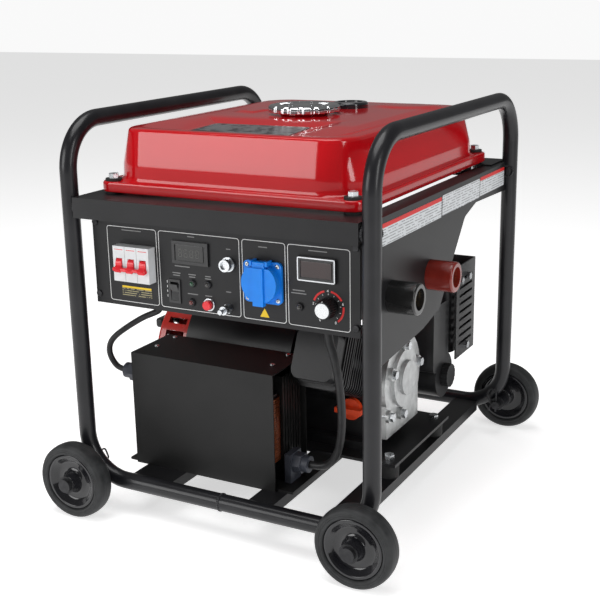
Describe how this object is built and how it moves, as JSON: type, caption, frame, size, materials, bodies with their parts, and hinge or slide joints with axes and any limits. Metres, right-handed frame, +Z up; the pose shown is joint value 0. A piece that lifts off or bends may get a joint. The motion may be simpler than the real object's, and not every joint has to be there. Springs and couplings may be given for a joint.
{
  "type": "engine driven welder",
  "caption": "Engine driven inverter welder: wheeled black tube frame, red fuel tank, front control panel with breaker, outlet and current knob, side weld sockets.",
  "frame": {"origin": "on the floor under the middle of the frame, at the bottom of the wheels", "axes": "+X to the right along the control panel, +Y to the back, +Z up"},
  "size_m": [0.512, 0.5988, 0.527],
  "materials": {
    "frame_paint": "semi-gloss black powder coat",
    "sheet_paint": "satin black powder coat",
    "tank_red": "high gloss red enamel",
    "panel_face": "printed satin dark grey overlay",
    "tyre_rubber": "satin solid rubber",
    "rim_plastic": "gloss black moulded plastic",
    "zinc_steel": "zinc plated",
    "chrome": "bright plated",
    "black_plastic": "fine grained black moulding",
    "gloss_black": "gloss black moulding",
    "white_plastic": "satin white moulding",
    "red_plastic": "gloss red moulding",
    "recoil_red": "gloss red moulding",
    "blue_plastic": "gloss blue moulding",
    "black_rubber": "matt rubber",
    "sleeve_red": "satin red moulding",
    "brass": "turned brass",
    "lamination": "black varnished steel",
    "cast_aluminium": "bare die casting",
    "engine_black": "satin black engine enamel",
    "steel": "machined steel",
    "oil_cap_orange": "gloss orange red moulding",
    "meter_face": "gloss dark window in its bezel",
    "muffler_paint": "heat resistant matt black"
  },
  "bodies": {
    "frame": {"frame_tube_left": "frame_paint", "frame_tube_right": "frame_paint", "wheel_axles": "zinc_steel", "axle_fixings": "zinc_steel", "base_rails": "sheet_paint", "front_top_beam": "sheet_paint", "rear_top_beam": "sheet_paint", "left_side_rail": "sheet_paint", "right_side_panel": "sheet_paint", "fuel_tank": "tank_red", "rubber_mounts": "black_rubber", "machine_bolts": "zinc_steel", "fuel_gauge": "gloss_black", "control_panel": "panel_face", "control_box": "sheet_paint", "panel_screws": "sheet_paint", "breaker_body": "white_plastic", "digital_meter": "meter_face", "ammeter": "meter_face", "rocker_housing": "black_plastic", "pilot_lamps": "red_plastic", "signal_connector": "chrome", "ground_terminal": "chrome", "schuko_socket": "blue_plastic", "weld_socket_black": "black_rubber", "weld_socket_red": "sleeve_red", "socket_inserts": "brass", "coil_box": "sheet_paint", "inductor_coil": "lamination", "cable_glands": "black_plastic", "inductor_lead": "black_rubber", "output_lead": "black_rubber", "engine_plate": "sheet_paint", "engine_block": "engine_black", "cylinder_head": "engine_black", "side_cover": "cast_aluminium", "blower_housing": "engine_black", "recoil_cover": "recoil_red", "air_cleaner": "black_plastic", "muffler": "muffler_paint", "muffler_shield": "muffler_paint"},
    "wheel_front_left": {"tyre_front_left": "tyre_rubber", "rim_front_left": "rim_plastic"},
    "wheel_front_right": {"tyre_front_right": "tyre_rubber", "rim_front_right": "rim_plastic"},
    "wheel_rear_left": {"tyre_rear_left": "tyre_rubber", "rim_rear_left": "rim_plastic"},
    "wheel_rear_right": {"tyre_rear_right": "tyre_rubber", "rim_rear_right": "rim_plastic"},
    "breaker_toggle": {"breaker_toggle": "red_plastic"},
    "rocker_switch": {"rocker_switch": "black_plastic"},
    "reset_button": {"reset_button": "red_plastic"},
    "current_knob": {"current_knob": "black_plastic"},
    "schuko_lid": {"schuko_lid": "blue_plastic"},
    "filler_cap_core": {"filler_cap_core": "black_plastic"},
    "filler_cap": {"filler_cap": "chrome"},
    "crank": {"crank_and_rotor": "steel"},
    "recoil_handle": {"recoil_handle": "black_plastic"},
    "air_cleaner_knob": {"air_cleaner_knob": "black_plastic"},
    "oil_cap": {"oil_cap": "oil_cap_orange"}
  },
  "joints": [
    {"name": "wheel_front_left_spin", "type": "hinge", "parent": "frame", "child": "wheel_front_left", "pos_m": [-0.205, -0.275, 0.051], "axis": [0, 1, 0], "continuous": true},
    {"name": "wheel_front_right_spin", "type": "hinge", "parent": "frame", "child": "wheel_front_right", "pos_m": [0.205, -0.275, 0.051], "axis": [0, 1, 0], "continuous": true},
    {"name": "wheel_rear_left_spin", "type": "hinge", "parent": "frame", "child": "wheel_rear_left", "pos_m": [-0.205, 0.275, 0.051], "axis": [0, 1, 0], "continuous": true},
    {"name": "wheel_rear_right_spin", "type": "hinge", "parent": "frame", "child": "wheel_rear_right", "pos_m": [0.205, 0.275, 0.051], "axis": [0, 1, 0], "continuous": true},
    {"name": "breaker_toggle_swing", "type": "hinge", "parent": "frame", "child": "breaker_toggle", "pos_m": [-0.1204, -0.234, 0.3435], "axis": [-1, 0, 0], "range_deg": [0, 76]},
    {"name": "rocker_switch_tip", "type": "hinge", "parent": "frame", "child": "rocker_switch", "pos_m": [-0.065, -0.221, 0.313], "axis": [-1, 0, 0], "range_deg": [0, 18]},
    {"name": "reset_button_press", "type": "slide", "parent": "frame", "child": "reset_button", "axis": [0, 1, 0], "range_m": [0, 0.002], "stiffness_N_per_m": 400, "springref_m": -0.001},
    {"name": "current_knob_turn", "type": "hinge", "parent": "frame", "child": "current_knob", "pos_m": [0.1475, -0.235, 0.3173], "axis": [0, 1, 0], "range_deg": [0, 270]},
    {"name": "schuko_lid_swing", "type": "hinge", "parent": "frame", "child": "schuko_lid", "pos_m": [0.063, -0.2365, 0.3635], "axis": [-1, 0, 0], "range_deg": [0, 95], "stiffness_Nm_per_rad": 0.02, "springref_deg": -22.92},
    {"name": "filler_cap_lift", "type": "slide", "parent": "frame", "child": "filler_cap_core", "axis": [0, 0, 1], "range_m": [0, 0.06]},
    {"name": "filler_cap_turn", "type": "hinge", "parent": "filler_cap_core", "child": "filler_cap", "pos_m": [0.006, -0.012, 0.52], "axis": [0, 0, 1], "range_deg": [0, 90]},
    {"name": "crank_spin", "type": "hinge", "parent": "frame", "child": "crank", "pos_m": [0, 0, 0.16], "axis": [1, 0, 0], "continuous": true},
    {"name": "recoil_handle_pull", "type": "slide", "parent": "frame", "child": "recoil_handle", "axis": [-1, 0, 0], "range_m": [0, 0.4], "stiffness_N_per_m": 8, "springref_m": -0.05},
    {"name": "air_cleaner_knob_turn", "type": "hinge", "parent": "frame", "child": "air_cleaner_knob", "pos_m": [0.165, 0.116, 0.128], "axis": [1, 0, 0], "range_deg": [0, 180]},
    {"name": "oil_cap_turn", "type": "hinge", "parent": "frame", "child": "oil_cap", "pos_m": [0.098, -0.066, 0.1279], "axis": [0, 1, 0], "range_deg": [0, 180]}
  ]
}
